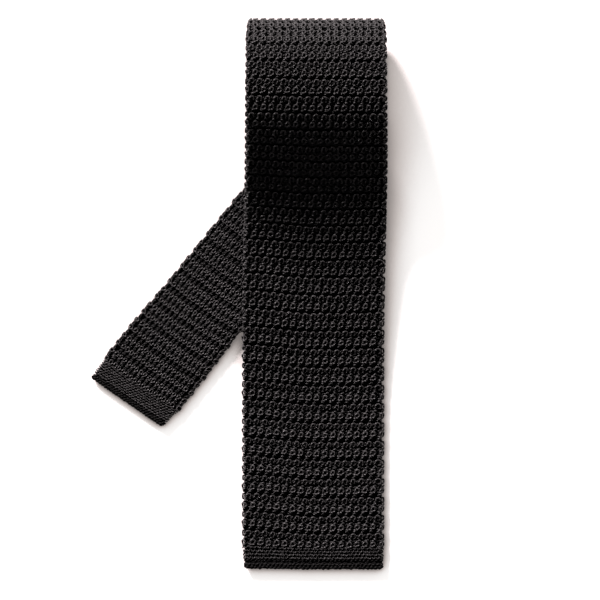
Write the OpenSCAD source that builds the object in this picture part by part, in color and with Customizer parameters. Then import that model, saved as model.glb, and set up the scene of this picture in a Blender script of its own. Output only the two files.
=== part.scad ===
// Square-ended knitted necktie, put away as it is sold: the neck folded into a flat
// stack, the front blade wrapped once round it and laid out straight, the narrow
// tail coming out at a slant underneath. The knit is a flattened tube, so it is
// divided at its fold lines into panels that hinge on each other.
//
// Frame: millimetres, +Z up, the table at z = 0, +Y towards the rolled end and
// +X across the front blade. The origin is the middle of the face the roll rests on.

/* [Front blade] */
// Width of the front blade
front_w = 60; // [54:1:66]
// Thickness of the front blade, both walls of the tube together
front_t = 3; // [2.6:0.1:3]
// Length of the front hem, with its rolled edge
hem_len = 9; // [7:0.5:11]

/* [Tail blade] */
// Width of the tail blade
tail_w = 38; // [34:1:38]
// Thickness of the tail blade, both walls together
tail_t = 2.6; // [2.2:0.1:2.6]
// Length of the tail from the middle of the roll to its end
tail_len = 127; // [112:1:140]
// Slant of the tail from the front blade
tail_angle = 39; // [37:0.5:44]

/* [Neck] */
// Width of the neck
neck_w = 26; // [20:1:32]
// Thickness of the pressed neck, both walls together
neck_t = 1.6; // [1.5:0.05:1.65]
// Number of laps the neck is folded into
laps = 12; // [4:2:12]
// Width of the stay tape inside the neck
tape_w = 10; // [8:1:14]

/* [Labels] */
// Width of the keeper label across the blade
keeper_w = 46; // [40:1:48]
// Length of the keeper label along the blade
keeper_len = 13; // [11:1:13]
// Width of the care label
care_w = 18; // [14:1:18]
// Length of the care label
care_len = 18; // [14:1:18]

/* [Hidden] */
$fn = 48;

knit = "#26262a";
knit_dark = "#1c1c20";
satin = "#3a3a40";
tape_c = "#55555c";
thread_c = "#101013";

gap = 0.15;              // each panel stops this far short of its fold line
oy = -40;                // from the middle of the tail's turn to the origin
roll_h = 30;             // height of the roll
nose_y = 50;             // middle of the rolled end
half_side = roll_h / 2 * tan(22.5);
in_side = (roll_h / 2 - front_t) * tan(22.5);
mid_z = roll_h / 2;

// outer corners of the rolled end, from the table up, as [y, z]
N = [[nose_y + half_side, 0], [nose_y + mid_z, mid_z - half_side],
     [nose_y + mid_z, mid_z + half_side], [nose_y + half_side, roll_h]];
// the same corners on the inside
M = [[nose_y + in_side, front_t], [nose_y + mid_z - front_t, mid_z - in_side],
     [nose_y + mid_z - front_t, mid_z + in_side], [nose_y + in_side, roll_h - front_t]];
// fold lines of the front blade's upper face, from the roll down to the table
T = [N[3], [18, roll_h], [-18, 12.4], [-92, front_t], [-171.6 + hem_len, front_t]];
// slope of each front panel
function slope(i) = atan2(T[i][1] - T[i + 1][1], T[i][0] - T[i + 1][0]);
// the fold lines on the under face, where the panels are mitred
function under(i) = let(a = (slope(i - 1) + slope(i)) / 2,
    d = front_t / cos((slope(i - 1) - slope(i)) / 2)) T[i] + d * [sin(a), -cos(a)];
U1 = under(1);
U2 = under(2);
U3 = under(3);
front_end_y = -171.6;

// the neck's laps: z of each lap's middle, and where it turns at each end
pitch = neck_t + 0.15;
lap_z0 = 5.6 + neck_t / 2;
function lap_z(i) = lap_z0 + pitch * i;
function turn_low(i) = let(z = lap_z(i) + 1.5 * pitch + 0.5)     // clear of the sloping panels
    max(18 + (z - 26.66) / 0.4889, z < 9 ? -28 : -90) + 0.9;
function turn_high(i) = let(z = lap_z(i) + pitch / 2)            // clear of the rolled end
    min(61, 54.97 + (z - 3) - 2.2, 54.97 + (27 - z) - 2.2) - 0.9;

lift_y = -74;            // fold line of the tail's tip, along the tail

// a profile drawn as [y, z], extruded across the blade
module yz(w) rotate([90, 0, 90]) linear_extrude(height = w, center = true) children();

// cross-section of a flattened tube: flat faces and full round edges
module tube_2d(w, t) {
    square([w - t, t], center = true);
    for (s = [-1, 1]) translate([s * (w - t) / 2, 0]) circle(d = t);
}

// a flattened tube whose one face runs from p at angle a; side says which face
module strip(p, a, len, side, w, t)
    translate([0, p[0], p[1]]) rotate([a, 0, 0]) translate([0, -6, side * t / 2])
        rotate([-90, 0, 0]) linear_extrude(height = len + 12) tube_2d(w, t);

// one panel between two fold lines: outer face p to q, inner face r to s
module panel(p, q, r, s, side) {
    d = q - p;
    len = norm(d);
    u = gap * d / len;
    intersection() {
        strip(p, atan2(d[1], d[0]), len, side, front_w, front_t);
        yz(front_w + 2) polygon([p + u, q - u, s - u, r + u]);
    }
}

module place() translate([0, oy, 0]) children();

// ---- the roll ----

module under_lap() color(knit_dark) place() intersection() {
    yz(front_w) polygon([[N[0][0] - gap, 0], [23, 0], [20, 3], [-28, 3], [-28, 5.4], [21, 5.4],
        [24, front_t], [M[0][0] - gap, front_t]]);
    translate([-front_w / 2, -40, 0]) cube([front_w, 120, 10]);
}

// the folded path of the neck, t thick
module laps_2d(t) {
    for (i = [0 : laps - 1]) {
        low = i == 0 ? -26 : turn_low(i % 2 == 1 ? i : i - 1);
        high = i == laps - 1 ? turn_high(i - 1) : turn_high(i % 2 == 0 ? i : i - 1);
        translate([low, lap_z(i) - t / 2]) square([high - low, t]);
        if (i < laps - 1) translate([i % 2 == 0 ? high : low, lap_z(i) + pitch / 2])
            intersection() {
                difference() { circle(d = pitch + t); circle(d = pitch - t); }
                translate([i % 2 == 0 ? -0.01 : -5, -5]) square([5.01, 10]);
            }
    }
}

module neck_folds() color(knit) place() difference() {
    yz(neck_w) laps_2d(neck_t);
    yz(tape_w + 0.6) laps_2d(0.5);
}

module neck_stay_tape() color(tape_c) place() yz(tape_w) laps_2d(0.3);

// ---- the rolled end ----

module nose_lower_panel() color(knit) place() panel(N[0], N[1], M[0], M[1], 1);
module nose_middle_panel() color(knit) place() panel(N[1], N[2], M[1], M[2], 1);
module nose_upper_panel() color(knit) place() panel(N[2], N[3], M[2], M[3], 1);

// ---- the front blade ----

module front_top_panel() color(knit) place() panel(T[1], T[0], U1, M[3], -1);
module front_slope_panel() color(knit) place() panel(T[2], T[1], U2, U1, -1);
module front_mid_panel() color(knit) place() panel(T[3], T[2], U3, U2, -1);

module front_blade_panel() color(knit) place() intersection() {
    strip(T[4], 0, T[3][0] - T[4][0], -1, front_w, front_t);
    yz(front_w + 2) polygon([T[4], T[3] - [gap, 0], U3 - [gap, 0], [T[4][0], 0]]);
}

// turned end of the tube: a band of close plain knit with a rolled edge
module hem(w, t, from, to) difference() {
    intersection() {
        translate([0, to - 6, t / 2]) rotate([-90, 0, 0]) linear_extrude(height = from - to + 12) tube_2d(w, t);
        yz(w + 2) {
            translate([to + t / 2, 0]) square([from - to - t / 2, t]);
            translate([to + t / 2, t / 2]) circle(d = t);
        }
    }
    translate([0, to + 2.6, t]) cube([w - 2 * t, 0.8, 0.8], center = true);
}

// the running stitches that close the hem, lying in its groove
module hem_thread(w, t, to, n) {
    step = (w - 2 * t - 2) / n;
    for (i = [0 : n - 1]) translate([-(w - 2 * t - 2) / 2 + step * (i + 0.5), to + 2.6, t - 0.1]) {
        rotate([0, 90, 0]) cylinder(d = 0.5, h = step * 0.6, center = true);
        for (s = [-1, 1]) translate([s * step * 0.3, 0, 0]) sphere(d = 0.5);
    }
}

module front_hem() color(knit_dark) place() hem(front_w, front_t, T[4][0], front_end_y);
module front_hem_thread() color(thread_c) place() hem_thread(front_w, front_t, front_end_y, 16);

// ---- the labels on the back of the front blade ----

// local frame of the middle panel's under face: y up the blade from its lower fold, z out of the face
module on_back() place() translate([0, U3[0], U3[1]]) rotate([slope(2), 0, 0]) children();

keeper_y = 26;           // lower edge of the keeper above the fold line
care_y = 66.5;           // sewn edge of the care label above the fold line

module keeper_label() color(satin) on_back() translate([0, keeper_y, 0]) {
    // a band sewn down at both ends, standing off the blade between them
    translate([-keeper_w / 2 + 2, 0, -1.05]) cube([keeper_w - 4, keeper_len, 0.45]);
    for (s = [-1, 1]) translate([s * (keeper_w / 2 - 1.5), keeper_len / 2, -0.525])
        cube([3, keeper_len, 1.05], center = true);
}

module keeper_stitches() color(thread_c) on_back()
    for (s = [-1, 1], i = [0 : 4]) translate([s * (keeper_w / 2 - 1.5), keeper_y + keeper_len / 2 + (i - 2) * 2.4, -1.05])
        rotate([90, 0, 0]) cylinder(d = 0.5, h = 1.6, center = true);

module care_label() color(satin) on_back()
    translate([6, care_y - care_len, -0.65]) cube([care_w, care_len, 0.35]);

module care_label_stitches() color(thread_c) on_back()
    for (i = [0 : 5]) translate([6 + care_w * (i + 0.5) / 6, care_y + 0.55, -0.25])
        rotate([0, 90, 0]) cylinder(d = 0.5, h = 1.9, center = true);

// ---- the tail ----

module tail_frame() place() rotate([0, 0, -tail_angle]) children();

module tail_panel() color(knit) tail_frame() {
    cylinder(d = tail_w, h = tail_t);
    translate([0, 0, tail_t / 2]) rotate([90, 0, 0]) linear_extrude(height = -lift_y - gap) tube_2d(tail_w, tail_t);
}

module tail_tip_panel() color(knit) tail_frame()
    translate([0, lift_y - gap, tail_t / 2]) rotate([90, 0, 0])
        linear_extrude(height = tail_len + lift_y - gap - hem_len) tube_2d(tail_w, tail_t);

module tail_hem() color(knit_dark) tail_frame() hem(tail_w, tail_t, hem_len - tail_len, -tail_len);
module tail_hem_thread() color(thread_c) tail_frame() hem_thread(tail_w, tail_t, -tail_len, 10);

under_lap();
neck_folds();
neck_stay_tape();
nose_lower_panel();
nose_middle_panel();
nose_upper_panel();
front_top_panel();
front_slope_panel();
front_mid_panel();
keeper_label();
keeper_stitches();
care_label();
care_label_stitches();
front_blade_panel();
front_hem();
front_hem_thread();
tail_panel();
tail_tip_panel();
tail_hem();
tail_hem_thread();
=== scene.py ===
"""Looks of the knitted necktie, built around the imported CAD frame."""
import math

import bpy
import numpy as np
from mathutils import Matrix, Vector


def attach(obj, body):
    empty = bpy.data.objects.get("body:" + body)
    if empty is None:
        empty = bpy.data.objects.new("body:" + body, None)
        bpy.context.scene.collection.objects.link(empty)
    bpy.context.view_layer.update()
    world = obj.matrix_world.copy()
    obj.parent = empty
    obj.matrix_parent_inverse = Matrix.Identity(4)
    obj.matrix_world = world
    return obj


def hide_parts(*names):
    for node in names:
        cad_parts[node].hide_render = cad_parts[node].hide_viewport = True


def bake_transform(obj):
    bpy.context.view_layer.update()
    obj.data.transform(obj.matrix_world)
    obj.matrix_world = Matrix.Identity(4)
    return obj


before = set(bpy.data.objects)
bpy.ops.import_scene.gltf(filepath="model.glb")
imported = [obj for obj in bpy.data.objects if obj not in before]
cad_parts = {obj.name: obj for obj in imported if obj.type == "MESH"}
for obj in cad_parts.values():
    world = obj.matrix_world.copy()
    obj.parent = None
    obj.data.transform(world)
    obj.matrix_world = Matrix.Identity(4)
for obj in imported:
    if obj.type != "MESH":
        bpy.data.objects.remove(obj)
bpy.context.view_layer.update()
RNG = np.random.default_rng(20479)
OY = -40.0  # the tail's turning point, from the origin, in mm
MM = 0.001


# ---------------------------------------------------------------- materials
def new_mat(name):
    m = bpy.data.materials.new(name)
    m.use_nodes = True
    nt = m.node_tree
    nt.nodes.clear()
    out = nt.nodes.new("ShaderNodeOutputMaterial")
    bsdf = nt.nodes.new("ShaderNodeBsdfPrincipled")
    nt.links.new(bsdf.outputs[0], out.inputs[0])
    return m, nt, bsdf


def yarn_mat(name, dark, light, rough=0.42, twist=9.0, spec=0.5, sheen=0.25, bump=0.55):
    """Plied black silk yarn: twisted plies from the mesh's own along-the-yarn coordinates, with the grooves between
    plies painted darker as shade, and slow dye variation over the cloth.
    """
    m, nt, b = new_mat(name)
    N = nt.nodes.new
    uv = N("ShaderNodeUVMap")
    uv.uv_map = "yarn"
    sep = N("ShaderNodeSeparateXYZ")
    nt.links.new(uv.outputs[0], sep.inputs[0])
    # plies: a stripe that winds round the yarn, used as bump relief and, in the colour, as painted shade in the grooves
    # between plies
    a = N("ShaderNodeMath"); a.operation = "MULTIPLY"; a.inputs[1].default_value = twist
    nt.links.new(sep.outputs[0], a.inputs[0])
    c = N("ShaderNodeMath"); c.operation = "MULTIPLY"; c.inputs[1].default_value = 3.0
    nt.links.new(sep.outputs[1], c.inputs[0])
    s = N("ShaderNodeMath"); s.operation = "ADD"
    nt.links.new(a.outputs[0], s.inputs[0]); nt.links.new(c.outputs[0], s.inputs[1])
    tau = N("ShaderNodeMath"); tau.operation = "MULTIPLY"; tau.inputs[1].default_value = 2 * math.pi
    nt.links.new(s.outputs[0], tau.inputs[0])
    sn = N("ShaderNodeMath"); sn.operation = "SINE"
    nt.links.new(tau.outputs[0], sn.inputs[0])
    ply = N("ShaderNodeMapRange")
    ply.inputs["From Min"].default_value = -1.0
    nt.links.new(sn.outputs[0], ply.inputs["Value"])
    geo = N("ShaderNodeTexCoord")
    slow = N("ShaderNodeTexNoise"); slow.inputs["Scale"].default_value = 90.0; slow.inputs["Detail"].default_value = 3.0
    nt.links.new(geo.outputs["Object"], slow.inputs["Vector"])
    fine = N("ShaderNodeTexNoise"); fine.inputs["Scale"].default_value = 5200.0; fine.inputs["Detail"].default_value = 2.0
    nt.links.new(geo.outputs["Object"], fine.inputs["Vector"])
    # colour value: slow random dye tone plus the ply stripe, which paints shade between the plies
    dye_noise_and_ply_shade = N("ShaderNodeMath"); dye_noise_and_ply_shade.operation = "MULTIPLY_ADD"
    dye_noise_and_ply_shade.inputs[1].default_value = 0.55
    nt.links.new(slow.outputs["Fac"], dye_noise_and_ply_shade.inputs[0])
    half = N("ShaderNodeMath"); half.operation = "MULTIPLY"; half.inputs[1].default_value = 0.45
    nt.links.new(ply.outputs[0], half.inputs[0])
    nt.links.new(half.outputs[0], dye_noise_and_ply_shade.inputs[2])
    ramp = N("ShaderNodeValToRGB")
    ramp.color_ramp.elements[0].position = 0.2
    ramp.color_ramp.elements[0].color = (*dark, 1)
    ramp.color_ramp.elements[1].position = 0.85
    ramp.color_ramp.elements[1].color = (*light, 1)
    nt.links.new(dye_noise_and_ply_shade.outputs[0], ramp.inputs[0])
    nt.links.new(ramp.outputs[0], b.inputs["Base Color"])
    rr = N("ShaderNodeMapRange")
    rr.inputs["To Min"].default_value = rough - 0.08
    rr.inputs["To Max"].default_value = rough + 0.12
    nt.links.new(fine.outputs["Fac"], rr.inputs["Value"])
    nt.links.new(rr.outputs[0], b.inputs["Roughness"])
    h = N("ShaderNodeMath"); h.operation = "MULTIPLY_ADD"; h.inputs[1].default_value = 0.35
    nt.links.new(fine.outputs["Fac"], h.inputs[0]); nt.links.new(ply.outputs[0], h.inputs[2])
    bp = N("ShaderNodeBump")
    bp.inputs["Strength"].default_value = bump
    bp.inputs["Distance"].default_value = 0.00020
    nt.links.new(h.outputs[0], bp.inputs["Height"])
    nt.links.new(bp.outputs[0], b.inputs["Normal"])
    b.inputs["Specular IOR Level"].default_value = spec
    b.inputs["Sheen Weight"].default_value = sheen
    b.inputs["Sheen Roughness"].default_value = 0.4
    return m


def cloth_mat(name, dark, light, scale=1500.0, rough=0.7, spec=0.2, sheen=0.1, stripes=(0, 0), bump=0.4):
    """Cloth seen between the stitches, tape and ribbon: fine grain, with woven stripes if asked."""
    m, nt, b = new_mat(name)
    N = nt.nodes.new
    geo = N("ShaderNodeTexCoord")
    n1 = N("ShaderNodeTexNoise"); n1.inputs["Scale"].default_value = scale; n1.inputs["Detail"].default_value = 4.0
    nt.links.new(geo.outputs["Object"], n1.inputs["Vector"])
    value = n1.outputs["Fac"]
    if stripes[0]:
        parts = []
        for axis, sc in (("X", stripes[0]), ("Y", stripes[1])):
            w = N("ShaderNodeTexWave"); w.wave_type = "BANDS"; w.bands_direction = axis
            w.inputs["Scale"].default_value = sc
            w.inputs["Distortion"].default_value = 0.4
            nt.links.new(geo.outputs["Object"], w.inputs["Vector"])
            parts.append(w.outputs["Fac"])
        mm = N("ShaderNodeMath"); mm.operation = "MAXIMUM"
        nt.links.new(parts[0], mm.inputs[0]); nt.links.new(parts[1], mm.inputs[1])
        mx = N("ShaderNodeMath"); mx.operation = "MULTIPLY_ADD"; mx.inputs[1].default_value = 0.4
        nt.links.new(n1.outputs["Fac"], mx.inputs[0])
        sc2 = N("ShaderNodeMath"); sc2.operation = "MULTIPLY"; sc2.inputs[1].default_value = 0.6
        nt.links.new(mm.outputs[0], sc2.inputs[0])
        nt.links.new(sc2.outputs[0], mx.inputs[2])
        value = mx.outputs[0]
    ramp = N("ShaderNodeValToRGB")
    ramp.color_ramp.elements[0].position = 0.25
    ramp.color_ramp.elements[0].color = (*dark, 1)
    ramp.color_ramp.elements[1].position = 0.8
    ramp.color_ramp.elements[1].color = (*light, 1)
    nt.links.new(value, ramp.inputs[0])
    nt.links.new(ramp.outputs[0], b.inputs["Base Color"])
    bp = N("ShaderNodeBump")
    bp.inputs["Strength"].default_value = bump
    bp.inputs["Distance"].default_value = 0.00012
    nt.links.new(value, bp.inputs["Height"])
    nt.links.new(bp.outputs[0], b.inputs["Normal"])
    b.inputs["Roughness"].default_value = rough
    b.inputs["Specular IOR Level"].default_value = spec
    b.inputs["Sheen Weight"].default_value = sheen
    b.inputs["Sheen Roughness"].default_value = 0.5
    return m


YARN = yarn_mat("black_silk_yarn", (0.0022, 0.0020, 0.0020), (0.0225, 0.0209, 0.0209), rough=0.52, spec=0.37, sheen=0.06, bump=0.9)
# lighter copy of the same yarn, for the blade near the hem: painted light
YARN_PAINTED_LIGHTER = yarn_mat("black_silk_yarn_painted_lighter", (0.0022, 0.0020, 0.0020), (0.0243, 0.0226, 0.0226), rough=0.52, spec=0.39, sheen=0.06, bump=0.9)
# darker copy of the same yarn, for the top and round the nose: painted shade
YARN_PAINTED_DARKER = yarn_mat("black_silk_yarn_painted_darker", (0.0022, 0.0020, 0.0020), (0.0206, 0.0192, 0.0192), rough=0.54, spec=0.34, sheen=0.05, bump=0.9)
# darker copy of the same yarn for loops and links low between the rows: painted shade in the grooves
YARN_PAINTED_GROOVE_SHADE = yarn_mat("black_silk_yarn_painted_groove_shade", (0.0020, 0.0019, 0.0019), (0.0080, 0.0075, 0.0073), rough=0.52, spec=0.38, sheen=0.06, bump=0.8)
# lighter copy of the same black yarn for the tail, standing in for brighter highlights: painted highlight
FINE_YARN_PAINTED_LIGHTER = yarn_mat("black_silk_yarn_fine", (0.0024, 0.0022, 0.0022), (0.0310, 0.0285, 0.0285), rough=0.50, spec=0.42, sheen=0.07, bump=0.9)
# darker copy of the tail's yarn for its loops and links low between the rows: painted shade in the grooves
TAIL_PAINTED_GROOVE_SHADE = yarn_mat("black_silk_fine_yarn_painted_groove_shade", (0.0014, 0.0013, 0.0013), (0.0046, 0.0043, 0.0042), rough=0.58, spec=0.22, sheen=0.04, bump=0.8)
YARN_FINE = yarn_mat("black_silk_plain_knit", (0.0018, 0.0017, 0.0017), (0.0110, 0.0102, 0.0102), rough=0.52, spec=0.26, sheen=0.05, bump=0.8)
# near-black cloth under the stitches, seen only through the gaps between them: painted shade
GAP_PAINTED_SHADE = cloth_mat("knit_gaps_painted_shade", (0.0005, 0.0005, 0.0005), (0.0015, 0.0014, 0.0014), spec=0.04, sheen=0.0, rough=0.9)
# darker copy of the yarn for the turned hem courses and the hem's running thread: painted shade where the edge rolls
# under
EDGE_YARN_PAINTED_SHADE = yarn_mat("black_silk_edge_yarn_painted_shade", (0.0010, 0.0009, 0.0009), (0.0042, 0.0037, 0.0036), rough=0.72, spec=0.14, sheen=0.04, bump=0.6)
# dark cloth for the rolled hem edge: painted shade on the edge that turns away from the light
HEM_EDGE_PAINTED_SHADE = cloth_mat("hem_roll", (0.0012, 0.0011, 0.0011), (0.0040, 0.0037, 0.0036), scale=2600.0, rough=0.75, spec=0.12, sheen=0.03)
TAPE = cloth_mat("woven_tape", (0.012, 0.012, 0.013), (0.045, 0.044, 0.046), stripes=(900.0, 900.0), rough=0.85)
SATIN = cloth_mat("black_satin_ribbon", (0.005, 0.005, 0.0054), (0.014, 0.014, 0.015), stripes=(2200.0, 700.0), rough=0.62, spec=0.12, sheen=0.03, bump=0.15)
THREAD = yarn_mat("black_sewing_thread", (0.004, 0.004, 0.004), (0.012, 0.012, 0.012), rough=0.4, spec=0.5, sheen=0.1, twist=4.0)


# ---------------------------------------------------------------- mesh helpers
def make_mesh(name, verts, quads, mat, uv=None, smooth=True):
    """verts in mm; quads (M, 4). uv is one pair for each quad corner."""
    me = bpy.data.meshes.new(name)
    v = np.asarray(verts, np.float32).reshape(-1, 3) * MM
    q = np.asarray(quads, np.int32).reshape(-1, 4)
    me.vertices.add(len(v))
    me.vertices.foreach_set("co", v.ravel())
    me.loops.add(q.size)
    me.loops.foreach_set("vertex_index", q.ravel())
    me.polygons.add(len(q))
    me.polygons.foreach_set("loop_start", np.arange(0, q.size, 4, dtype=np.int32))
    me.polygons.foreach_set("loop_total", np.full(len(q), 4, np.int32))
    me.polygons.foreach_set("use_smooth", np.full(len(q), smooth))
    me.update(calc_edges=True)
    if uv is not None:
        layer = me.uv_layers.new(name="yarn")
        layer.data.foreach_set("uv", np.asarray(uv, np.float32).ravel())
    me.materials.append(mat)
    o = bpy.data.objects.new(name, me)
    bpy.context.scene.collection.objects.link(o)
    return o


def tubes(paths, normals, radius, sides=6, closed=True, flat=1.0):
    """Round yarns along paths (C, K, 3). Returns verts, quads, uv."""
    p = np.asarray(paths, float)
    n = np.asarray(normals, float)
    if closed:
        t = np.roll(p, -1, 1) - np.roll(p, 1, 1)
    else:
        t = np.gradient(p, axis=1)
    t /= np.linalg.norm(t, axis=2, keepdims=True) + 1e-9
    side = np.cross(t, n)
    side /= np.linalg.norm(side, axis=2, keepdims=True) + 1e-9
    up = np.cross(side, t)
    C, K, _ = p.shape
    ang = np.arange(sides) / sides * 2 * np.pi
    r = np.asarray(radius, float)
    r = np.broadcast_to(r if r.ndim else r[None, None], (C, K))[:, :, None, None]
    v = p[:, :, None] + r * (np.cos(ang)[None, None, :, None] * side[:, :, None] + flat * np.sin(ang)[None, None, :, None] * up[:, :, None])
    k0 = np.arange(K if closed else K - 1)
    k1 = (k0 + 1) % K
    s0 = np.arange(sides)
    s1 = (s0 + 1) % sides
    base = np.arange(C)[:, None, None] * K * sides
    f = lambda k, s: base + k[None, :, None] * sides + s[None, None, :]
    quads = np.stack([f(k0, s0), f(k0, s1), f(k1, s1), f(k1, s0)], -1)
    seg = np.linalg.norm(np.diff(np.concatenate([p, p[:, :1]], 1), axis=1), axis=2)
    dist = np.concatenate([np.zeros((C, 1)), np.cumsum(seg, 1)], 1)  # C, K+1
    d0 = dist[:, k0][:, :, None]
    d1 = dist[:, k0 + 1][:, :, None]
    sv0 = (s0 / sides)[None, None]
    sv1 = ((s0 + 1) / sides)[None, None]
    shp = (C, len(k0), sides)
    b = lambda x: np.broadcast_to(x, shp)
    uv = np.stack([b(d0) * 0.09, b(sv0), b(d0) * 0.09, b(sv1), b(d1) * 0.09, b(sv1), b(d1) * 0.09, b(sv0)], -1)
    verts = v.reshape(-1, 3)
    quads = quads.reshape(-1, 4)
    if not closed:
        # close the two ends with a ring drawn in to the middle
        extra, eq, euv = [], [], []
        start = len(verts)
        for c in range(C):
            for k, flip in ((0, True), (K - 1, False)):
                mid = start + len(extra)
                extra.append(p[c, k])
                idx = c * K * sides + k * sides + s0
                for a in range(0, sides - 1, 2):
                    quad = [mid, idx[a], idx[(a + 1) % sides], idx[(a + 2) % sides]]
                    eq.append(quad[::-1] if flip else quad)
                    euv.append([0.0] * 8)
        verts = np.concatenate([verts, np.array(extra)])
        quads = np.concatenate([quads, np.array(eq)])
        uv = np.concatenate([uv.reshape(-1, 8), np.array(euv)])
    return verts, quads, uv.reshape(-1, 8)


def merge(parts):
    vs, qs, us, n = [], [], [], 0
    for v, q, u in parts:
        vs.append(v); qs.append(q + n); us.append(u)
        n += len(v)
    return np.concatenate(vs), np.concatenate(qs), np.concatenate(us)


def smooth01(x):
    x = np.clip(x, 0, 1)
    return x * x * (3 - 2 * x)


# ---------------------------------------------------------------- the strips
class Strip:
    """A flattened tube laid along a curve. cross() maps (u round the tube, v along it, h off the yarn's middle) to space.
    w is the width, t the whole thickness, yc the yarn's middle below the outside."""

    def __init__(self, mid_yz, w, t, yc=0.45, centre=None, turn=0.0, droop=None, edge=None, taper=None, step=0.22, window=31, x0=0.0):
        pts = np.asarray(mid_yz, float)
        seg = np.linalg.norm(np.diff(pts, axis=0), axis=1)
        s = np.concatenate([[0], np.cumsum(seg)])
        self.length = s[-1]
        n = int(self.length / step) + 2
        self.s = np.linspace(0, s[-1], n)
        self.y = np.interp(self.s, s, pts[:, 0])
        self.z = np.interp(self.s, s, pts[:, 1])
        k = np.hanning(window); k /= k.sum()
        e = window // 2
        pad = lambda a: np.convolve(np.concatenate([2 * a[0] - a[e:0:-1], a, 2 * a[-1] - a[-2:-e - 2:-1]]), k, "valid")
        self.y, self.z = pad(self.y), pad(self.z)
        ty, tz = np.gradient(self.y), np.gradient(self.z)
        ln = np.hypot(ty, tz)
        self.ny, self.nz = -tz / ln, ty / ln  # left of travel: up when travelling towards +Y
        self.w, self.t = w, t
        self.rt = t / 2 - yc
        self.half = w / 2 - t / 2
        self.perimeter = 4 * self.half + 2 * math.pi * self.rt
        self.centre = centre or (lambda v: 0 * v + x0)
        self.turn = turn
        self.droop = droop or (lambda x, v: 0 * x)
        self.edge = edge or (lambda v: 0 * v)
        self.taper = taper or (lambda v: 0 * v + 1)

    def section(self, u, h):
        s, r, P = self.half, self.rt, self.perimeter
        u = (u + P / 2) % P - P / 2  # 0 is the middle of the top face
        a = np.abs(u)
        arc = math.pi * r
        ph = np.clip((a - s) / r, 0, math.pi)
        x = np.where(a < s, a, np.where(a < s + arc, s + (r + h) * np.sin(ph), s - (a - s - arc)))
        zn = np.where(a < s, r + h, np.where(a < s + arc, (r + h) * np.cos(ph), -(r + h)))
        nx, nzn = np.sin(ph), np.cos(ph)
        sg = np.sign(u) + (u == 0)
        return x * sg, zn, nx * sg, nzn

    def cross(self, u, v, h):
        u, v, h = np.broadcast_arrays(u, v, h)
        x, zn, nx, nzn = self.section(u, h)
        v = v + self.droop(x, v)
        bulge = self.edge(v) * smooth01((np.abs(x) - self.half + 2.2) / 3.4)
        x = (x + np.sign(x) * bulge) * self.taper(v)
        y = np.interp(v, self.s, self.y) + np.where(v < 0, v, 0) + np.where(v > self.length, v - self.length, 0)
        z = np.interp(v, self.s, self.z)
        ny, nz = np.interp(v, self.s, self.ny), np.interp(v, self.s, self.nz)
        P = np.stack([x + self.centre(v), y + zn * ny, z + zn * nz], -1)
        Nn = np.stack([nx, nzn * ny, nzn * nz], -1)
        if self.turn:
            c, s = math.cos(self.turn), math.sin(self.turn)
            R = np.array([[c, -s, 0], [s, c, 0], [0, 0, 1]])
            P, Nn = P @ R.T, Nn @ R.T
        P[..., 1] += OY
        return P, Nn

    def point(self, v):
        """The middle of the strip at v, in metres, in the row frame."""
        p, _ = self.cross(np.array([0.0]), np.array([float(v)]), np.array([-self.rt]))
        return tuple(float(q) * MM for q in p[0])


# stitches, in units of half a stitch across and of a row along, h in mm
RING_A = np.array([  # arch standing on two legs, as an n
    (-1.00, -0.46, -0.66), (-0.74, -0.58, -0.50), (-0.56, -0.52, -0.06), (-0.50, -0.10, 0.14), (-0.42, 0.30, 0.19),
    (-0.12, 0.50, 0.20), (0.22, 0.48, 0.20), (0.46, 0.26, 0.19), (0.50, -0.12, 0.15), (0.46, -0.48, 0.02),
    (0.24, -0.58, -0.22), (0.02, -0.50, -0.44), (0.30, -0.40, -0.66), (0.72, -0.40, -0.70)])
RING_B = np.array([  # closed ring with its tail lying out to the lower left
    (-1.00, -0.50, -0.62), (-0.76, -0.52, -0.44), (-0.46, -0.54, -0.10), (-0.04, -0.52, 0.13), (0.32, -0.38, 0.18),
    (0.51, -0.02, 0.18), (0.38, 0.34, 0.19), (0.02, 0.50, 0.18), (-0.36, 0.36, 0.15), (-0.50, 0.00, 0.08),
    (-0.40, -0.30, -0.12), (-0.06, -0.42, -0.42), (0.50, -0.50, -0.64)])
LOOP = np.array([  # the loop that shows between two rows; its yarn is coloured darker as painted shade
    (-1.00, 0.04, -0.78), (-0.62, -0.10, -0.50), (-0.24, 0.22, -0.22), (0.06, 0.46, -0.12), (0.34, 0.20, -0.20), (0.56, -0.16, -0.48), (0.80, -0.10, -0.74)])
PLAIN = np.array([(-1.0, -0.30, -0.30), (-0.42, -0.20, 0.02), (0.0, 0.10, 0.10), (0.42, 0.34, 0.02), (0.72, 0.0, -0.26)])
PURL = np.array([(-1.0, 0.30, -0.36), (-0.58, 0.10, -0.06), (-0.30, -0.22, 0.09), (0.0, -0.34, 0.12), (0.30, -0.22, 0.09), (0.58, 0.10, -0.06)])
RIDGE = np.array([(-1.0, -0.10, -0.10), (-0.45, -0.05, 0.07), (0.0, 0.03, 0.10), (0.45, 0.08, 0.06), (0.8, 0.0, -0.06)])
# a short end that shows in the gap between two rings, in mm; drawn in the darker painted-shade yarn
FILL = np.array([
    (-1.00, -0.60, -0.75), (-0.66, -0.66, -0.58), (-0.34, -0.50, -0.16), (-0.16, 0.06, -0.01), (0.08, 0.52, -0.02), (0.30, 0.34, -0.14),
    (0.36, -0.20, -0.40), (0.72, -0.55, -0.70)])
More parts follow.
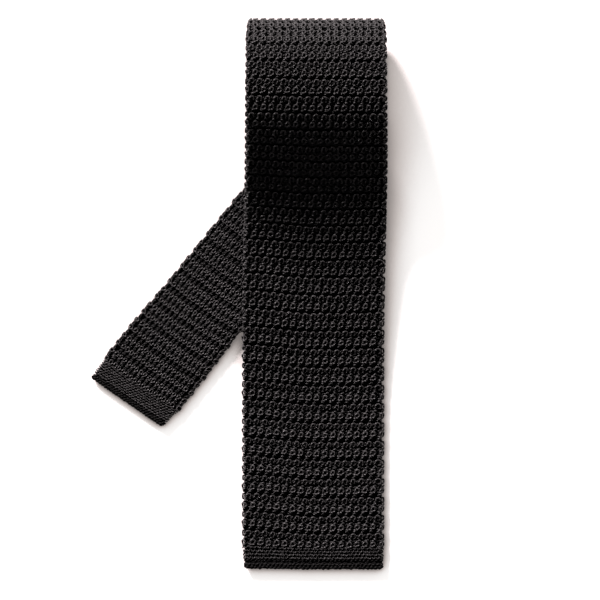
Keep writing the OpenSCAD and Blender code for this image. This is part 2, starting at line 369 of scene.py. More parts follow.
# the tail's stitches, in mm: upright rings, those of every other row with legs below
TAIL_A = np.array([
    (-1.00, -1.90, -0.62), (-0.76, -1.70, -0.50), (-0.50, -1.10, -0.12), (-0.58, -0.40, 0.10), (-0.58, 0.30, 0.16), (-0.34, 0.74, 0.18), (0.14, 0.80, 0.18),
    (0.54, 0.52, 0.18), (0.58, -0.04, 0.18), (0.44, -0.56, 0.16), (0.04, -0.82, 0.14), (-0.30, -1.12, 0.10), (-0.34, -1.70, 0.00),
    (0.00, -2.20, -0.22), (0.70, -2.15, -0.52)])
TAIL_B = np.array([
    (-1.00, -0.80, -0.62), (-0.74, -0.92, -0.44), (-0.36, -0.94, 0.04), (0.12, -0.92, 0.18), (0.52, -0.66, 0.20), (0.59, -0.06, 0.18),
    (0.52, 0.52, 0.18), (0.14, 0.82, 0.18), (-0.34, 0.74, 0.17), (-0.58, 0.28, 0.15), (-0.58, -0.34, 0.10), (-0.38, -0.68, -0.10),
    (0.10, -0.76, -0.40), (0.66, -0.80, -0.58)])
TAIL_LOOP = np.array([
    (-1.00, -1.00, -0.66), (-0.68, -1.00, -0.50), (-0.44, -0.70, -0.10), (-0.26, 0.20, 0.03), (0.04, 0.88, 0.06), (0.28, 0.50, 0.00),
    (0.22, -0.30, -0.06), (0.24, -0.90, -0.14), (0.58, -1.05, -0.50), (0.82, -1.02, -0.62)])


def stitch_row(strip, template, v0, n, phase, width, height, jitter=0.08, tilt=None, lift=0.0, spin=0.14):
    """One course round the tube: n copies of a stitch. width and height are what one unit is, in mm."""
    p = strip.perimeter / n
    du = template[None, :, 0] * width
    # unit 1.0 across is always half the pitch, so the links between stitches meet
    link = np.abs(template[:, 0]) > 0.6
    du = np.where(link[None], template[None, :, 0] * p / 2, du)
    dv = template[None, :, 1] * height
    dh = template[None, :, 2] + 0 * du
    r1, r2, r3, r4 = (np.clip(RNG.normal(0, 1, (n, 1)), -2.2, 2.2) for _ in range(4))
    j = np.arange(n)[:, None]
    grow = 1 + np.clip(0.075 * r3, -0.15, 0.15)
    ang = spin * r4 + (tilt or 0.0)
    cu, cv = du * grow, dv * grow
    ru = cu * np.cos(ang) - cv * np.sin(ang)
    rv = cu * np.sin(ang) + cv * np.cos(ang)
    ru = np.where(link[None], cu, ru)
    u = (j + phase) * p + ru + jitter * r1
    v = v0 + rv + jitter * r2 + 0 * u
    h = dh + lift + RNG.normal(0, 0.02, (n, 1)) * (template[None, :, 2] > 0)
    P, Nn = strip.cross(u.ravel(), v.ravel(), h.ravel())
    return P[None], Nn[None]


def refine(P, N, times=1):
    """Catmull-Rom points between those given, on a closed path."""
    for _ in range(times):
        a, b, c, d = np.roll(P, 1, 1), P, np.roll(P, -1, 1), np.roll(P, -2, 1)
        m = (-a + 9 * b + 9 * c - d) / 16
        P = np.stack([P, m], 2).reshape(P.shape[0], -1, 3)
        M = (N + np.roll(N, -1, 1)) / 2
        N = np.stack([N, M], 2).reshape(N.shape[0], -1, 3)
    return P, N / np.linalg.norm(N, axis=2, keepdims=True)


def ground_mesh(strip, v_list, drop=0.62, cols=72, side=0.0):
    """A closed tube along the strip, drop below the yarn's middle, one value or one for each v. Returns verts and quads."""
    n = cols // 2
    s, r = strip.half, strip.rt
    arc = math.pi * r
    top = np.linspace(-s, s, n, endpoint=False)
    right = s + np.linspace(0, arc, 7, endpoint=False)
    bottom = s + arc + np.linspace(0, 2 * s, n, endpoint=False)
    left = s + arc + 2 * s + np.linspace(0, arc, 7, endpoint=False)
    u = np.concatenate([top, right, bottom, left])
    drops = np.broadcast_to(np.asarray(drop, float), (len(v_list),))
    x = np.abs(strip.section(u, 0.0)[0])
    near_side = side * smooth01((x - s + 1.6) / 1.6)
    V = np.array([strip.cross(u, np.full_like(u, v), near_side - d)[0] for v, d in zip(v_list, drops)])
    R, C = V.shape[:2]
    i = np.arange(R - 1)[:, None] * C
    a = np.arange(C)[None]
    b = (a + 1) % C
    quads = [np.stack([i + a, i + b, i + C + b, i + C + a], -1).reshape(-1, 4)]
    for row in (0, R - 1):
        off = row * C
        t_idx = np.arange(n + 1)
        b_idx = n + 7 + n - np.arange(n + 1)
        cap = [np.stack([t_idx[:-1], t_idx[1:], b_idx[1:], b_idx[:-1]], -1)]
        for start in (n, 2 * n + 7):
            g = (start + np.arange(8)) % C
            cap.append(np.array([[g[0], g[1], g[6], g[7]], [g[1], g[2], g[5], g[6]], [g[2], g[3], g[4], g[5]]]))
        cap = np.concatenate(cap) + off
        quads.append(cap[:, ::-1] if row == 0 else cap)
    return V.reshape(-1, 3), np.concatenate(quads)


def outward(o):
    """Turns a closed mesh's faces outwards, each against its neighbour and then all of them."""
    import bmesh
    bm = bmesh.new()
    bm.from_mesh(o.data)
    bmesh.ops.recalc_face_normals(bm, faces=bm.faces)
    if bm.calc_volume(signed=True) < 0:
        bmesh.ops.reverse_faces(bm, faces=bm.faces)
    bm.to_mesh(o.data)
    bm.free()
    return o


# ---------------------------------------------------------------- the front strip's path, as [y, z] of the outer face in mm
OUT = [(-171.6, 3.0), (-160, 3.0), (-140, 3.0), (-118, 3.0), (-104, 3.05), (-92, 3.5), (-82, 4.2), (-72.7, 5.0), (-65, 5.7), (-58, 6.3), (-48.6, 7.1),
       (-38.3, 8.1), (-33, 8.75), (-28, 9.55), (-22.8, 10.6), (-17.6, 11.9), (-12.5, 13.5), (-3.9, 16.9), (4.7, 20.6), (13.3, 24.3), (18.5, 26.4),
       (23.6, 28.1), (28.8, 29.2), (34, 29.8), (38, 29.97), (41, 30.0)]
LAP = [(-25, 3.25), (-10, 3.25), (5, 3.25), (13, 3.1), (18, 1.9), (22, 0.7), (26, 0.08), (27, 0.0)]
FT, TT = 3.0, 2.6  # thickness of the front and of the tail


def spline(points, n=900):
    """Smooth curve through the points, by height over distance."""
    p = np.array(points, float)
    x = np.linspace(p[0, 0], p[-1, 0], n)
    m = np.gradient(p[:, 1], p[:, 0])
    i = np.clip(np.searchsorted(p[:, 0], x, side="right") - 1, 0, len(p) - 2)
    h = p[i + 1, 0] - p[i, 0]
    t = (x - p[i, 0]) / h
    z = ((1 + 2 * t) * (1 - t) ** 2 * p[i, 1] + t * (1 - t) ** 2 * h * m[i]
         + t * t * (3 - 2 * t) * p[i + 1, 1] + t * t * (t - 1) * h * m[i + 1])
    return np.stack([x, z], -1)


def outer_path():
    th = np.linspace(math.pi / 2, 0, 160)[1:]
    top = np.stack([41 + 24 * np.cos(th), 15 + 15 * np.sin(th)], -1)
    th = np.linspace(0, -math.pi / 2, 160)[1:]
    low = np.stack([50 + 15 * np.cos(th), 15 + 15 * np.sin(th)], -1)
    bx = np.linspace(50, 27, 60)[1:]
    return np.concatenate([spline(OUT), top, low, np.stack([bx, 0 * bx], -1), spline(LAP, 300)[::-1][1:]])


def offset_in(path, d):
    t = np.gradient(path, axis=0)
    t /= np.linalg.norm(t, axis=1, keepdims=True)
    return path - d * np.stack([-t[:, 1], t[:, 0]], -1)


OUTER = outer_path()
INNER = offset_in(OUTER, FT + 0.35)


def droop_front(x, v):
    """How far a course leaves a straight line: it hangs towards the hem in the middle, near the hem most."""
    far = smooth01((260 - v) / 150) * (0.12 + 0.88 * smooth01((v - 3.0) / 16))
    return far * (-2.1 * smooth01((x + 29) / 30) + 0.5 * smooth01((x - 8) / 22) + 0.9) + 0.75 * (1 - smooth01((v - 4) / 30))


front = Strip(offset_in(OUTER, FT / 2), 60.0, FT, centre=lambda v: -0.4 + 1.3 * smooth01((v - 95) / 90) + 0.25 * (1 - smooth01((v - 2) / 9)), droop=droop_front)
L = front.length


def s_at(y, z):
    return front.s[np.argmin((front.y - y) ** 2 + (front.z - z) ** 2)]


HEM = 9.0
# the fold lines of the panels, along the strip
FOLDS = [s_at(-91.8, 1.5), s_at(-17.5, 10.9), s_at(18.3, 25.6), s_at(55.6, 26.0), s_at(63.5, 20.6), s_at(63.5, 9.4), s_at(55.6, 1.5)]
BODIES = ["front_blade", "front_mid", "front_slope", "front_top", "nose_upper", "nose_middle", "nose_lower", "bundle"]
PANELS = ["front_blade_panel", "front_mid_panel", "front_slope_panel", "front_top_panel", "nose_upper_panel", "nose_middle_panel", "nose_lower_panel", "under_lap"]
ends = [HEM] + FOLDS + [L]

# courses: where every row of rings lies, and which kind it is
rows = []
v, k = HEM + 1.9, 0
while v < L - 1.5:
    rows.append((v, k % 2 + (2 if v > 229 else 0)))
    v += 4.02 - 0.42 * smooth01((v - 60) / 110) + (0.09 if k % 2 else -0.09)
    k += 1
ROW_V = np.array([r[0] for r in rows])


def edge_front(v):
    """The folded side edge stands out a little at each pair of courses, and narrows at the top corners."""
    i = np.interp(v, ROW_V, np.arange(len(ROW_V)))
    wave = 0.24 * (0.5 + 0.5 * np.cos(math.pi * (i - 0.45))) * smooth01((v - 6) / 6)
    corner = 1.1 * np.exp(-((v - 246) / 9.0) ** 2) + 0.5 * np.exp(-((v + 0.2) / 1.0) ** 2)
    return 0.02 + 0.42 * (1 - smooth01((v - 170) / 60)) + wave - corner - 0.08 * (1 - smooth01((v - 7) / 3))


front.edge = edge_front

# cuts between the pieces of cloth: halfway along a short panel, and 24 mm from the folds of a long one
cuts = []  # (from, to, bodies, fold)
REACH = 24.0
at = ends[0]
for i in range(8):
    a, b = ends[i], ends[i + 1]
    lo = a if i == 0 else cuts[-1][1] if cuts else a
    if i < 7:
        room = b - lo
        if i == 0 or (b - a) > 2 * REACH + 6:
            split = b - REACH
            cuts.append((lo, split, (BODIES[i],), None))
            lo = split
        nxt = ends[i + 2]
        last = b + REACH if (nxt - b) > 2 * REACH + 6 or i == 6 else (b + nxt) / 2
        if i == 3:
            last = b + 3.9
        if i == 6:
            last = b + 8.0
        cuts.append((lo, last, (BODIES[i], BODIES[i + 1]), b))
    else:
        cuts.append((lo, L, (BODIES[7],), None))
print("strip", round(L, 1), "folds", [round(float(f), 1) for f in FOLDS], "courses", len(rows))
for c in cuts:
    print("cut", [round(float(x), 1) for x in c[:2]], c[2])

sheets = []


def courses(name, strip, rowlist, kinds, n, radius, mat, times=1, sides=6, spin=0.18):
    """One mesh of whole courses. kinds gives the stitch for each kind of row: template, phase, width, height, offset along, lift."""
    paths, norms = [], []
    for v, kind in rowlist:
        t, phase, w, h, off, lift = kinds[kind]
        P, Nn = stitch_row(strip, t, v + off, n, phase, w, h, lift=lift, spin=spin)
        paths.append((P, Nn))
    out = []
    for size in sorted({p.shape[1] for p, _ in paths}):
        P = np.concatenate([p for p, _ in paths if p.shape[1] == size])
        Nn = np.concatenate([q for p, q in paths if p.shape[1] == size])
        P, Nn = refine(P, Nn, times)
        out.append(tubes(P, Nn, radius, sides=sides))
    V, Q, U = merge(out)
    o = make_mesh(name, V, Q, mat, uv=U)
    return o


def hang(objs, bodies, start=None, end=None):
    for o in objs:
        if len(bodies) == 2:
            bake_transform(o)
        else:
            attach(o, bodies[0])


# ---------------------------------------------------------------- the front blade, round the nose and under the roll
NF = 35
UP = {0: (RING_B, 0.5, 1.70, 1.92, 0.0, 0.0), 1: (RING_A, 0.0, 1.74, 1.74, 0.0, 0.0), 2: (TAIL_B, 0.5, 1.35, 1.12, 0.0, 0.0), 3: (TAIL_A, 0.5, 1.35, 1.0, 0.0, 0.0)}
LOW = {0: (LOOP, 0.72, 1.30, 1.50, 1.55, 0.30), 1: (LOOP, 0.2, 1.50, 1.10, 1.85, 0.02), 2: (TAIL_LOOP, 0.5, 1.3, 0.8, 1.8, -0.05), 3: (TAIL_LOOP, 0.5, 1.3, 0.8, 1.7, -0.10)}
BETWEEN = {0: (FILL, 0.0, 0.9, 0.8, 0.1, -0.26), 1: (FILL, 0.5, 0.9, 0.8, 0.1, -0.26), 2: (FILL, 0.0, 0.9, 0.8, 0.1, -0.26), 3: (FILL, 0.5, 0.9, 0.8, 0.1, -0.26)}
names = {"front_blade": "blade", "front_mid": "middle", "front_slope": "slope", "front_top": "top", "nose_upper": "nose_up", "nose_middle": "nose_mid", "nose_lower": "nose_low", "bundle": "lap"}
panel_of = dict(zip(BODIES, PANELS))
done = set()
for a, b, bodies, fold in cuts:
    tag = "front_" + "_to_".join(names[x] for x in bodies)
    step = 1.3 if fold and b - a < 20 else 2.2
    vs = np.linspace(a, b, max(3, int((b - a) / step) + 1))
    V, Q = ground_mesh(front, vs, drop=0.86, side=0.42)
    g = outward(make_mesh(tag + "_ground", V, Q, GAP_PAINTED_SHADE))
    mine = [r for r in rows if a <= r[0] < b]
    hidden = bodies == ("bundle",)
    # the blade near the hem gets the lighter copy of the yarn, the top and nose the darker one: painted light and shade
    # by place
    y = courses(tag + "_stitches", front, mine, UP, NF, 0.44 if b < 175 else 0.40, YARN_PAINTED_LIGHTER if b < 110 else YARN if b < 175 else YARN_PAINTED_DARKER, times=1, sides=4 if hidden else 5 if b - a > 40 else 6)
    # loops and links between the rows take the darker yarn: painted shade in the grooves
    l = courses(tag + "_loops", front, mine, LOW, NF, 0.36 if b < 175 else 0.33, YARN_PAINTED_GROOVE_SHADE, times=1, sides=5)
    f = courses(tag + "_links", front, mine, BETWEEN, NF, 0.22, YARN_PAINTED_GROOVE_SHADE, times=1, sides=5)
    start = end = None
    if fold:
        start, end = front.point(max(a + 0.8, fold - 6)), front.point(min(b - 0.8, fold + 6))
    hang((g, y, l, f), bodies, start, end)
    new = [panel_of[x] for x in bodies if panel_of[x] not in done]
    done.update(new)
    if new:
        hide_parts(*new)
    sheets.append((g, (0.060, (b - a) * MM), [y, l, f]))

# the front hem: close plain courses and a smooth rolled edge
V, Q = ground_mesh(front, np.linspace(3.6, HEM, 5), drop=0.5)
hem_g = outward(make_mesh("front_hem_ground", V, Q, GAP_PAINTED_SHADE))
front_plain = courses("front_hem_courses", front, [(9.0, 0), (7.55, 1), (6.1, 0), (4.65, 1)], {0: (PURL, 0.0, 1.0, 1.3, 0.0, 0.0), 1: (PURL, 0.5, 1.0, 1.3, 0.0, -0.02)}, 68, 0.33, YARN_FINE)
vr = np.array([-0.12, 0.05, 0.35, 0.8, 1.3, 1.9, 2.35, 2.6, 2.85, 3.3, 3.9, 4.3, 4.6])
dr = np.array([1.0, 0.70, 0.42, 0.22, 0.12, 0.10, 0.24, 0.44, 0.26, 0.14, 0.16, 0.30, 0.6])
V, Q = ground_mesh(front, vr, drop=dr, cols=120)
front_roll = outward(make_mesh("front_hem_roll", V, Q, HEM_EDGE_PAINTED_SHADE))
front_turn = courses("front_hem_turned_courses", front, [(3.4, 1), (1.75, 0), (0.75, 1), (0.1, 2)], {0: (PLAIN, 0.0, 1.0, 0.9, 0.0, -0.12), 1: (PLAIN, 0.5, 1.0, 0.9, 0.0, -0.22), 2: (PLAIN, 0.0, 1.0, 0.5, 0.0, -0.72)}, 70, 0.30, EDGE_YARN_PAINTED_SHADE)


def running(strip, name, v0, n, w, mat):
    """The running stitches that close a hem, lying in its groove."""
    xs = (np.arange(n) + 0.5) / n * w - w / 2
    K = 9
    tt = np.linspace(-0.3, 0.3, K) * w / n
    h = -0.15 - 0.25 * (np.abs(np.linspace(-1, 1, K)) ** 3)
    P, Nn = strip.cross(xs[:, None] + tt[None], np.full((n, K), v0), np.broadcast_to(h, (n, K)))
    V, Q, U = tubes(P, Nn, 0.2, sides=6, closed=False)
    return make_mesh(name, V, Q, mat, uv=U)


front_thread = running(front, "front_hem_running_thread", 2.6, 18, 55.0, EDGE_YARN_PAINTED_SHADE)
hang((hem_g, front_plain, front_roll, front_turn, front_thread), ("front_blade",))
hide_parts("front_hem")
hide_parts("front_hem_thread")
sheets[0][2].extend([hem_g, front_plain, front_roll, front_turn, front_thread])

# ---------------------------------------------------------------- the tail
TLEN = 127.0
THEM = 9.0


def droop_tail(x, v):
    near = 1 - smooth01((v - 60) / 60)
    return 0.074 * x * near - 0.8 * (1 - (x / 19) ** 2) * near * smooth01((v + 4) / 14) - 0.75


def taper_tail(v):
    """Under the roll the tail's end is gathered in, so that it can swing clear of the lap above it."""
    return np.interp(v - TLEN, [-200, -6, 0, 5, 10, 13], [1, 1, 16.2 / 19, 13.2 / 19, 9.8 / 19, 7.0 / 19])


tail = Strip([(-TLEN, TT / 2), (-60, TT / 2), (13.0, TT / 2)], 38.0, TT, yc=0.36, turn=math.radians(-39), droop=droop_tail, taper=taper_tail)


def edge_tail(v):
    wide = smooth01((v - 6) / 5) * (1 - smooth01((v - 24) / 34))
    return 0.12 + 0.85 * wide + 0.34 * (0.5 + 0.5 * np.cos(math.pi * (v - THEM - 1.5) / 4.3)) * smooth01((v - 6) / 5) - 0.5 * np.exp(-((v + 0.2) / 1.0) ** 2)


tail.edge = edge_tail
trows = []
v, k = THEM + 1.5, 0
while v < tail.length - 1.5:
    trows.append((v, k % 2))
    v += 4.30 + (0.12 if k % 2 else -0.12)
    k += 1
NT = 36
TUP = {0: (TAIL_B, 0.5, 1.06, 1.05, 0.0, 0.0), 1: (TAIL_A, 0.5, 1.06, 1.05, 0.0, 0.0)}
TLOW = {0: (TAIL_LOOP, 0.5, 1.0, 1.0, 2.05, 0.0), 1: (TAIL_LOOP, 0.5, 1.0, 0.9, 2.1, -0.08)}
TFILL = {0: (FILL, 0.0, 0.8, 0.8, 0.2, -0.22), 1: (FILL, 0.0, 0.8, 0.8, 0.2, -0.22)}
FOLD_T = TLEN - 74.0
tcuts = [(THEM, FOLD_T - 14, ("tail_tip",), None), (FOLD_T - 14, FOLD_T + 14, ("tail_tip", "tail"), FOLD_T), (FOLD_T + 14, tail.length, ("tail",), None)]
for a, b, bodies, fold in tcuts:
    tag = "tail_" + {("tail_tip",): "end", ("tail_tip", "tail"): "fold", ("tail",): "main"}[bodies]
    V, Q = ground_mesh(tail, np.linspace(a, b, max(3, int((b - a) / 1.8) + 1)), drop=0.72, cols=60, side=0.38)
    g = outward(make_mesh(tag + "_ground", V, Q, GAP_PAINTED_SHADE))
    mine = [r for r in trows if a <= r[0] < b]
    # the tail's stitches use the lighter copy of the yarn: painted highlight
    y = courses(tag + "_stitches", tail, mine, TUP, NT, 0.265, FINE_YARN_PAINTED_LIGHTER, sides=5 if bodies == ("tail",) else 6, spin=0.10)
    # the tail's loops and links take the darker yarn: painted shade in the grooves
    l = courses(tag + "_loops", tail, mine, TLOW, NT, 0.27, TAIL_PAINTED_GROOVE_SHADE, sides=5)
    f = courses(tag + "_links", tail, mine, TFILL, NT, 0.2, TAIL_PAINTED_GROOVE_SHADE, sides=5)
    if fold:
        hang((g, y, l, f), ("tail", "tail_tip"), tail.point(fold + 8), tail.point(fold - 8))
    else:
        hang((g, y, l, f), bodies)
    if bodies == ("tail",):
        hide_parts("tail_panel")
    elif bodies == ("tail_tip",):
        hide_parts("tail_tip_panel")
    sheets.append((g, (0.038, (b - a) * MM), [y, l, f]))

V, Q = ground_mesh(tail, np.linspace(2.0, THEM, 5), drop=0.42, cols=60)
them_g = outward(make_mesh("tail_hem_ground", V, Q, GAP_PAINTED_SHADE))
tail_plain = courses("tail_hem_courses", tail, [(8.9, 0), (7.9, 1), (6.9, 0), (5.9, 1), (4.9, 0), (3.9, 1), (2.9, 0)], {0: (RIDGE, 0.0, 0.8, 1.5, 0.0, 0.0), 1: (RIDGE, 0.5, 0.8, 1.5, 0.0, -0.02)}, 54, 0.28, FINE_YARN_PAINTED_LIGHTER)
vr = np.array([-0.1, 0.05, 0.3, 0.7, 1.1, 1.5, 1.9, 2.2])
dr = np.array([0.9, 0.58, 0.34, 0.16, 0.10, 0.12, 0.26, 0.5])
V, Q = ground_mesh(tail, vr, drop=dr, cols=90)
tail_roll = outward(make_mesh("tail_hem_roll", V, Q, HEM_EDGE_PAINTED_SHADE))
tail_turn = courses("tail_hem_turned_courses", tail, [(1.6, 1), (0.8, 0), (0.08, 2)], {0: (PLAIN, 0.0, 0.8, 0.9, 0.0, -0.12), 1: (PLAIN, 0.5, 0.8, 0.9, 0.0, -0.08), 2: (PLAIN, 0.5, 0.8, 0.5, 0.0, -0.62)}, 54, 0.27, EDGE_YARN_PAINTED_SHADE)
tail_thread = running(tail, "tail_hem_running_thread", 2.0, 12, 34.0, EDGE_YARN_PAINTED_SHADE)
hang((them_g, tail_plain, tail_roll, tail_turn, tail_thread), ("tail_tip",))
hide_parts("tail_hem")
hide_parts("tail_hem_thread")
sheets[-3][2].extend([them_g, tail_plain, tail_roll, tail_turn, tail_thread])

# ---------------------------------------------------------------- the neck, folded inside the roll
LAPS, NKT = 12, 1.5
NPITCH = 1.66
NZ0 = 7.2
rise = INNER[: 900 + 60]
rise = rise[np.argsort(rise[:, 0])]
nose = INNER[900:1217]


def lap_low(z):
    """Nearest the front a lap can turn: its own height against the sloping inner face."""
    zz = z + NKT / 2 + 0.9
    ok = rise[(rise[:, 1] > zz)]
    y = ok[:, 0].min() if len(ok) else 18.0
    return max(y, -27.0 if z < 8.6 else -60.0) + 1.6


def lap_high(z):
    sel = nose[np.abs(nose[:, 1] - z) < NKT + 0.9]
    return sel[:, 0].min() - 2.0 if len(sel) else 50.0


path = []
for i in range(LAPS):
    z = NZ0 + NPITCH * i
    zt = z + NPITCH / 2
    lo = lap_low(NZ0) if i == 0 else lap_low(NZ0 + NPITCH * (i if i % 2 == 1 else i - 1) + NPITCH)
    hi = lap_high(NZ0 + NPITCH * (i if i % 2 == 0 else i - 1) + NPITCH / 2)
    run = np.linspace(lo, hi, 60) if i % 2 == 0 else np.linspace(hi, lo, 60)
    wav = 0.10 * np.sin(run * 0.22 + i * 1.7)
    path += [(yy, z + ww * min(1, (yy - lo) / 6, (hi - yy) / 6)) for yy, ww in zip(run, wav)]
    if i < LAPS - 1:
        for th in np.linspace(-math.pi / 2, math.pi / 2, 9)[1:-1]:
            c = hi if i % 2 == 0 else lo
            sgn = 1 if i % 2 == 0 else -1
            path.append((c + sgn * NPITCH / 2 * math.cos(th), zt + NPITCH / 2 * math.sin(th)))
neck = Strip(path, 26.0, NKT, yc=0.27, step=0.12, window=5)
print("neck length", round(neck.length, 1))
third = neck.length / 4
for q in range(4):
    a, b = q * third, (q + 1) * third
    V, Q = ground_mesh(neck, np.linspace(a, b, int((b - a) / 0.45)), drop=0.30, cols=20)
    g = outward(make_mesh(f"neck_{q + 1}_ground", V, Q, GAP_PAINTED_SHADE))
    nr = [(v, i % 2) for i, v in enumerate(np.arange(0.8 + 2.1 * math.ceil((a - 0.8) / 2.1), b, 2.1))]
    y = courses(f"neck_{q + 1}_stitches", neck, nr, {0: (PLAIN, 0.0, 1.0, 1.5, 0.0, 0.0), 1: (PLAIN, 0.5, 1.0, 1.5, 0.0, 0.0)}, 24, 0.26, YARN, times=0, sides=4)
    hang((g, y), ("bundle",))
    sheets.append((g, (0.026, (b - a) * MM), [y]))
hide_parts("neck_folds")
tape = Strip(path, 10.0, 0.3, yc=0.1, step=0.12, window=5)
V, Q = ground_mesh(tape, np.linspace(0.2, tape.length - 0.2, int(tape.length / 0.5)), drop=0.0, cols=6)
tape_o = outward(make_mesh("neck_tape", V, Q, TAPE))
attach(tape_o, "bundle")
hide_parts("neck_stay_tape")
sheets.append((tape_o, (0.010, tape.length * MM), []))

# ---------------------------------------------------------------- the labels on the back of the front blade
def back_point(x, y, drop_mm):
    """A point under the front blade: x across, y along the table, drop_mm below the cloth's under face."""
    i = np.interp(y, OUTER[:900, 0], np.arange(900))
    yy, zz = np.interp(i, np.arange(900), OUTER[:900, 0]), np.interp(i, np.arange(900), OUTER[:900, 1])
    j = int(np.clip(round(float(np.mean(i))), 1, 898))
    t = OUTER[j + 1] - OUTER[j - 1]
    t /= np.linalg.norm(t)
    nrm = np.array([-t[1], t[0]])
    c = np.array([yy, zz]) - nrm * (FT + drop_mm)
    return np.array([x, c[0] + OY, c[1]])


def slab(name, grid_fn, nu, nv, thick, mat):
    """A thin closed cloth from a grid of points (top side) and a thickness downward."""
    top = np.array([[grid_fn(u, w, 0.0) for u in np.linspace(0, 1, nu)] for w in np.linspace(0, 1, nv)])
    bot = np.array([[grid_fn(u, w, thick) for u in np.linspace(0, 1, nu)] for w in np.linspace(0, 1, nv)])
    V = np.concatenate([top.reshape(-1, 3), bot.reshape(-1, 3)])
    idx = np.arange(nu * nv).reshape(nv, nu)
    m = nu * nv
    q = [np.stack([idx[:-1, :-1], idx[:-1, 1:], idx[1:, 1:], idx[1:, :-1]], -1).reshape(-1, 4)]
    q.append(q[0][:, ::-1] + m)
    for e in (idx[0], idx[-1][::-1], idx[:, 0][::-1], idx[:, -1]):
        q.append(np.stack([e[:-1], e[:-1] + m, e[1:] + m, e[1:]], -1))
    return outward(make_mesh(name, V, np.concatenate(q), mat))


KY0, KY1, KW = -65.5, -52.5, 46.0


def keeper_grid(u, w, d):
    x = (u - 0.5) * KW
    sag = 0.25 + 0.5 * smooth01((KW / 2 - 1.8 - abs(x)) / 4.0)
    return back_point(x, KY0 + (KY1 - KY0) * w, sag + d)


keeper = slab("keeper_band", keeper_grid, 47, 9, 0.4, SATIN)
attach(keeper, "front_mid")
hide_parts("keeper_label")
sheets.append((keeper, (KW * MM, 0.013), []))
CX, CW, CY1, CY0 = 15.0, 18.0, -26.4, -44.4


def care_grid(u, w, d):
    x = CX + (u - 0.5) * CW
    y = CY0 + (CY1 - CY0) * w
    return back_point(x, y, 0.25 + 0.45 * smooth01((1 - w) / 0.5) + 0.12 * math.sin(u * math.pi) * (1 - w) + d)


care = slab("care_ribbon", care_grid, 19, 19, 0.3, SATIN)
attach(care, "care_label")
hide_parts("care_label")
sheets.append((care, (CW * MM, 0.018), []))


def stitch_bars(name, centres, direction, length, drop):
    P, Nn = [], []
    for x, y in centres:
        tt = np.linspace(-0.5, 0.5, 9)
        pts = [back_point(x + direction[0] * length * q, y + direction[1] * length * q, drop - 0.35 * abs(2 * q) ** 3) for q in tt]
        P.append(pts)
        Nn.append([[0, 0, -1.0]] * 9)
    V, Q, U = tubes(np.array(P), np.array(Nn), 0.22, sides=6, closed=False)
    o = make_mesh(name, V, Q, THREAD, uv=U)
    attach(o, "front_mid")
    return o


bars = [(s * (KW / 2 - 0.9), KY0 + (KY1 - KY0) * (i + 0.5) / 6) for s in (-1, 1) for i in range(6)]
kst = stitch_bars("keeper_thread", bars, (0, 1), 1.5, 0.75)
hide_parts("keeper_stitches")
bars = [(CX + CW * ((i + 0.5) / 7 - 0.5), CY1 - 0.7) for i in range(7)]
cst = stitch_bars("care_ribbon_thread", bars, (1, 0), 1.8, 0.62)
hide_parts("care_label_stitches")

# ---------------------------------------------------------------- table, light and camera
floor_mat, nt, b = new_mat("white_table_painted_contact_shadow")
b.inputs["Base Color"].default_value = (0.90, 0.86, 0.84, 1)
b.inputs["Roughness"].default_value = 0.9
b.inputs["Specular IOR Level"].default_value = 0.0
b.inputs["Emission Color"].default_value = (1.0, 0.90, 0.86, 1)
# the table glows; ambient occlusion dims the glow near the tie and a ramp tints it warm there: painted contact shadow
ao = nt.nodes.new("ShaderNodeAmbientOcclusion")
ao.samples = 12
ao.inputs["Distance"].default_value = 0.06
mr = nt.nodes.new("ShaderNodeMapRange")
mr.inputs["From Min"].default_value = 0.5
mr.inputs["From Max"].default_value = 0.936
mr.inputs["To Min"].default_value = 0.45
mr.inputs["To Max"].default_value = 1.0
nt.links.new(ao.outputs["AO"], mr.inputs["Value"])
near = nt.nodes.new("ShaderNodeAmbientOcclusion")
near.samples = 12
near.inputs["Distance"].default_value = 0.016
mn = nt.nodes.new("ShaderNodeMapRange")
mn.inputs["From Min"].default_value = 0.5
mn.inputs["To Min"].default_value = 0.40
mn.inputs["To Max"].default_value = 1.0
nt.links.new(near.outputs["AO"], mn.inputs["Value"])
painted_contact_shadow = nt.nodes.new("ShaderNodeMath")
painted_contact_shadow.operation = "MULTIPLY"
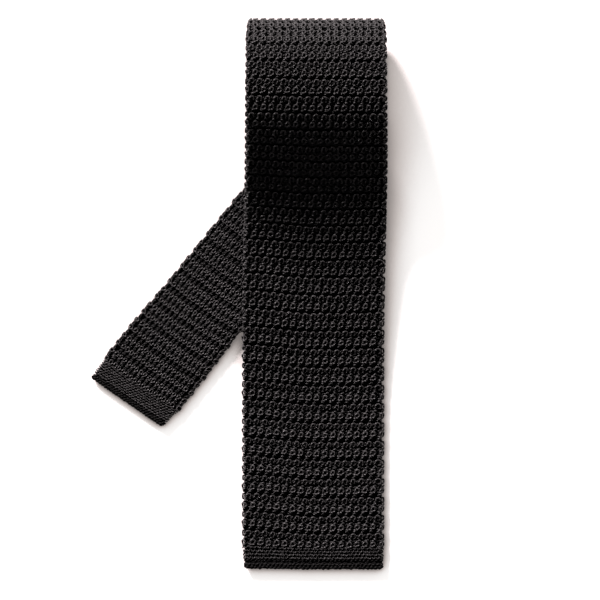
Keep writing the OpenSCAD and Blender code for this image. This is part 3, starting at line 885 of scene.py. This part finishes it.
nt.links.new(mr.outputs[0], painted_contact_shadow.inputs[0])
nt.links.new(mn.outputs[0], painted_contact_shadow.inputs[1])
nt.links.new(painted_contact_shadow.outputs[0], b.inputs["Emission Strength"])
painted_shadow_tint = nt.nodes.new("ShaderNodeValToRGB")
painted_shadow_tint.color_ramp.elements[0].position = 0.5
painted_shadow_tint.color_ramp.elements[0].color = (1.0, 0.90, 0.86, 1)
painted_shadow_tint.color_ramp.elements[1].position = 0.9
painted_shadow_tint.color_ramp.elements[1].color = (1.0, 0.98, 0.97, 1)
nt.links.new(painted_contact_shadow.outputs[0], painted_shadow_tint.inputs[0])
nt.links.new(painted_shadow_tint.outputs[0], b.inputs["Emission Color"])
fv = [(-900, -900, -0.4), (900, -900, -0.4), (900, 900, -0.4), (-900, 900, -0.4)]
floor = make_mesh("table", fv, [(0, 1, 2, 3)], floor_mat, smooth=False)

world = bpy.data.worlds.new("dark_room")
bpy.context.scene.world = world
world.use_nodes = True
world.node_tree.nodes["Background"].inputs[0].default_value = (1, 1, 1, 1)
world.node_tree.nodes["Background"].inputs[1].default_value = 0.022


def sun(name, direction, energy, angle, colour=(1, 1, 1)):
    d = bpy.data.lights.new(name, "SUN")
    d.energy = energy
    d.angle = math.radians(angle)
    d.color = colour
    o = bpy.data.objects.new(name, d)
    o.rotation_euler = Vector(direction).to_track_quat("Z", "Y").to_euler()
    bpy.context.scene.collection.objects.link(o)
    return o


sun("key", (-1.50, 2.90, 1.01), 11.7, 17.0, (1.05, 0.955, 0.975))

cam_data = bpy.data.cameras.new("camera")
cam = bpy.data.objects.new("camera", cam_data)
bpy.context.scene.collection.objects.link(cam)
D = 2.6
cam.location = (-0.0060, -0.0955, D)
cam.rotation_euler = (0, 0, 0)
cam_data.sensor_width = 36.0
cam_data.lens = 36.0 * D / 0.258
cam_data.clip_start, cam_data.clip_end = 0.05, 10.0
bpy.context.scene.camera = cam
bpy.context.scene.view_settings.view_transform = "Standard"
bpy.context.scene.view_settings.look = "None"

bpy.context.view_layer.update()
